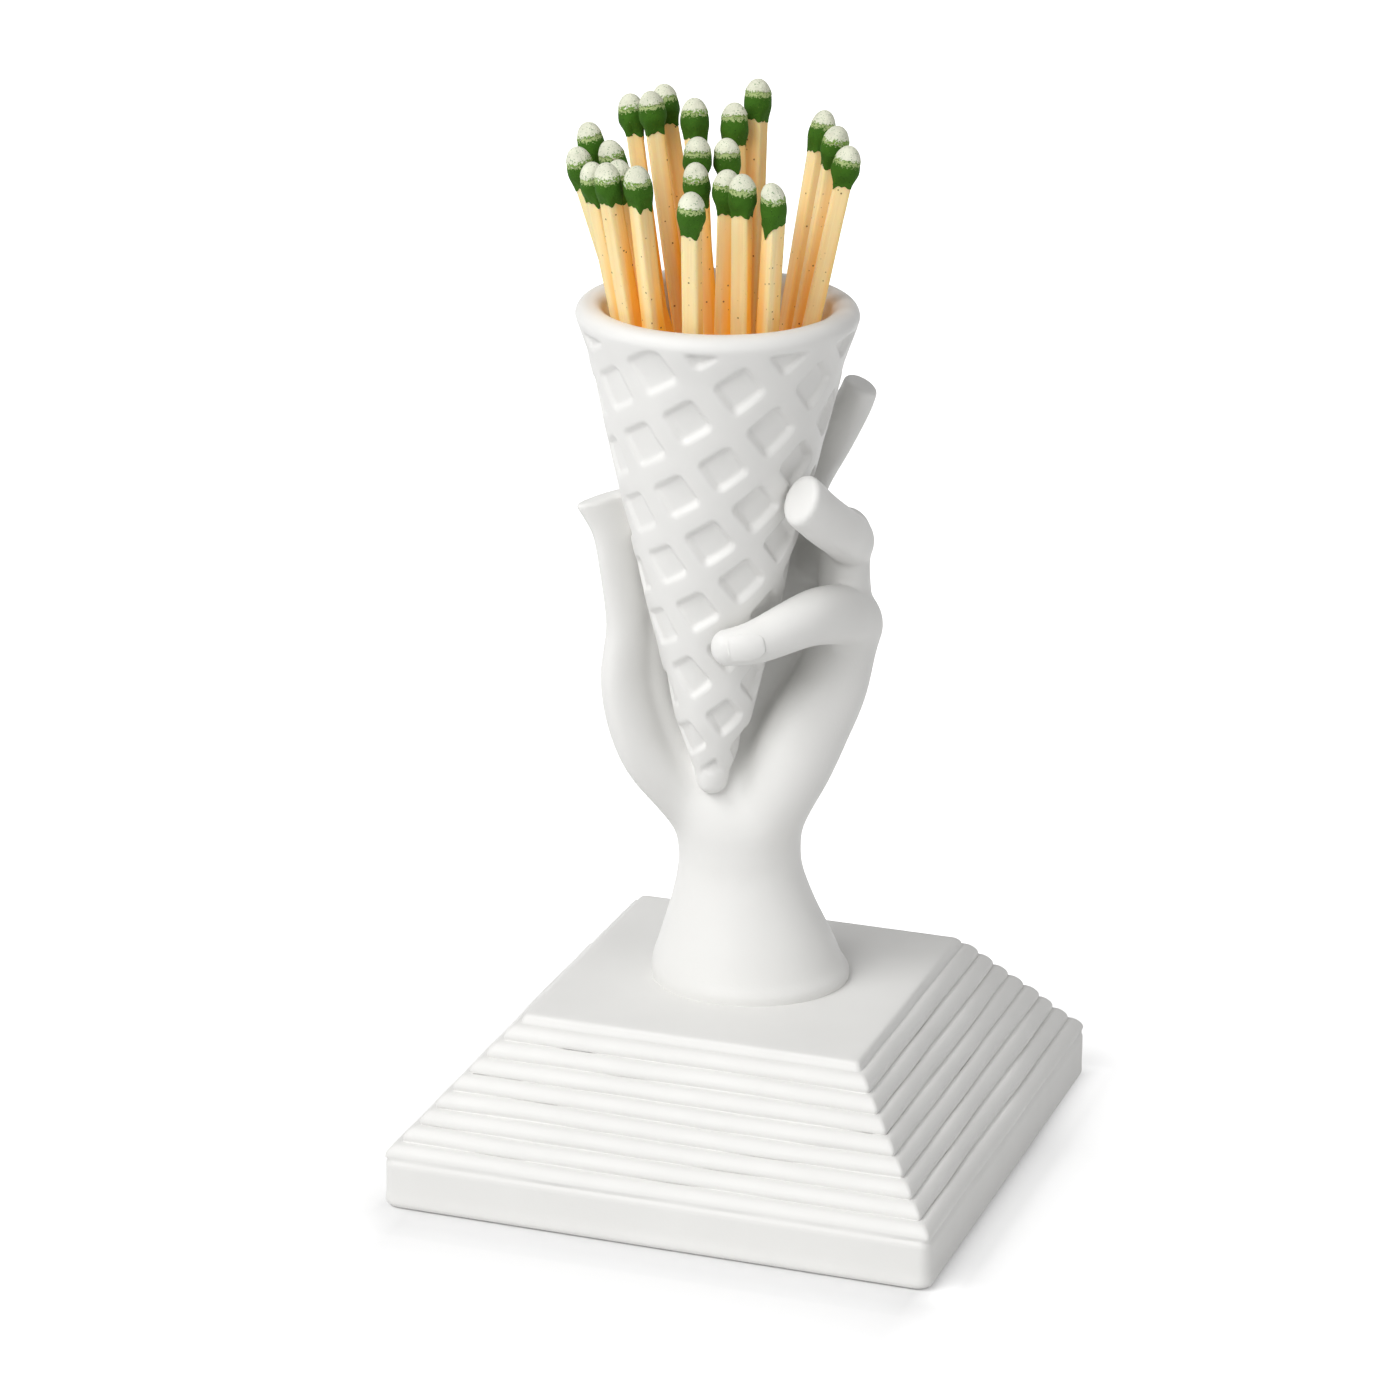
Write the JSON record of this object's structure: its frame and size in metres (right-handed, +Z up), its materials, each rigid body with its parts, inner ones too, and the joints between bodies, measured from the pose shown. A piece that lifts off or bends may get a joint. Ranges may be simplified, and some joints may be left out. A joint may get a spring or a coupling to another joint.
{
  "type": "match striker",
  "caption": "Porcelain match striker: a ridged square base, a hand holding a waffle cone cup, and a bundle of wooden matches standing in the cup.",
  "frame": {"origin": "centre of the square base, on the surface it stands on", "axes": "+Z up, -Y towards the front edge of the square base, +X to the right seen from the front"},
  "size_m": [0.076, 0.076, 0.1459],
  "materials": {
    "porcelain": "matte, unglazed",
    "match_wood": "bare, fine sawn grain",
    "match_head": "matte, slightly rough dipped compound",
    "match_tip": "matte, slightly rough dipped compound"
  },
  "bodies": {
    "root": {"striker_body": "porcelain", "stick_01": "match_wood", "stick_02": "match_wood", "stick_03": "match_wood", "stick_04": "match_wood", "stick_05": "match_wood", "stick_06": "match_wood", "stick_07": "match_wood", "stick_08": "match_wood", "stick_09": "match_wood", "stick_10": "match_wood", "stick_11": "match_wood", "stick_12": "match_wood", "stick_13": "match_wood", "stick_14": "match_wood", "stick_15": "match_wood", "stick_16": "match_wood", "stick_17": "match_wood", "stick_18": "match_wood", "stick_19": "match_wood", "stick_20": "match_wood", "stick_21": "match_wood", "stick_22": "match_wood", "stick_23": "match_wood", "head_01": "match_head", "head_02": "match_head", "head_03": "match_head", "head_04": "match_head", "head_05": "match_head", "head_06": "match_head", "head_07": "match_head", "head_08": "match_head", "head_09": "match_head", "head_10": "match_head", "head_11": "match_head", "head_12": "match_head", "head_13": "match_head", "head_14": "match_head", "head_15": "match_head", "head_16": "match_head", "head_17": "match_head", "head_18": "match_head", "head_19": "match_head", "head_20": "match_head", "head_21": "match_head", "head_22": "match_head", "head_23": "match_head", "match_tips": "match_tip"}
  },
  "joints": []
}
